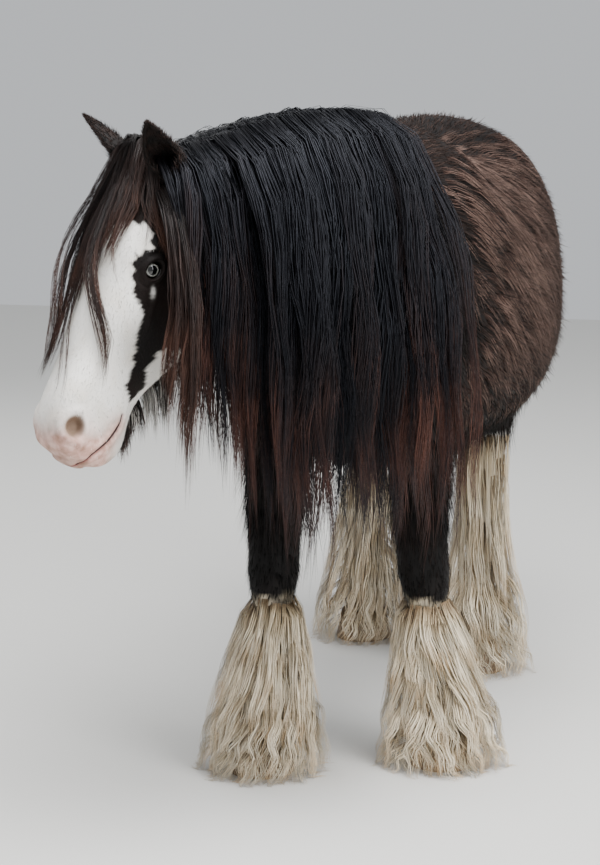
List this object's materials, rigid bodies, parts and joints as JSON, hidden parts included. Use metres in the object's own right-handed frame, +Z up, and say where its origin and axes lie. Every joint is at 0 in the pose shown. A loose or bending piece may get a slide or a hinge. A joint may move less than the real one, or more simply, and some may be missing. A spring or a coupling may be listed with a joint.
{
  "type": "gypsy vanner horse",
  "caption": "Life-size still model of a feathered draught horse, standing with bent neck and lowered head, with long mane, forelock, tail and leg feather.",
  "frame": {"origin": "middle of the floor under the whole horse, midway between its extremes to the left and right and to the front and rear, at the level of the hoof soles", "axes": "+Z up, -Y the way the horse faces, +X to the horse's left"},
  "size_m": [0.8958, 2.1122, 1.4768],
  "materials": {
    "dark_coat": "long dark brown-black winter coat",
    "white_face": "short white hair over pink skin",
    "black_hair": "long straight black mane and tail hair with red-brown tips",
    "cream_feather": "long wavy cream leg hair",
    "hoof": "matt horn",
    "eye": "wet, dark and glossy"
  },
  "bodies": {
    "root": {"head": "white_face", "neck_upper": "black_hair", "neck_lower": "black_hair", "forequarters": "dark_coat", "barrel": "dark_coat", "hindquarters": "dark_coat", "tail": "black_hair", "ear_left": "black_hair", "ear_right": "black_hair", "eye_left": "eye", "eye_right": "eye", "foreleg_left_upper": "dark_coat", "foreleg_right_upper": "dark_coat", "hindleg_left_upper": "dark_coat", "hindleg_right_upper": "dark_coat", "foreleg_left_lower": "cream_feather", "foreleg_right_lower": "cream_feather", "hindleg_left_lower": "cream_feather", "hindleg_right_lower": "cream_feather", "hoof_foreleg_left": "hoof", "hoof_foreleg_right": "hoof", "hoof_hindleg_left": "hoof", "hoof_hindleg_right": "hoof"}
  },
  "joints": []
}
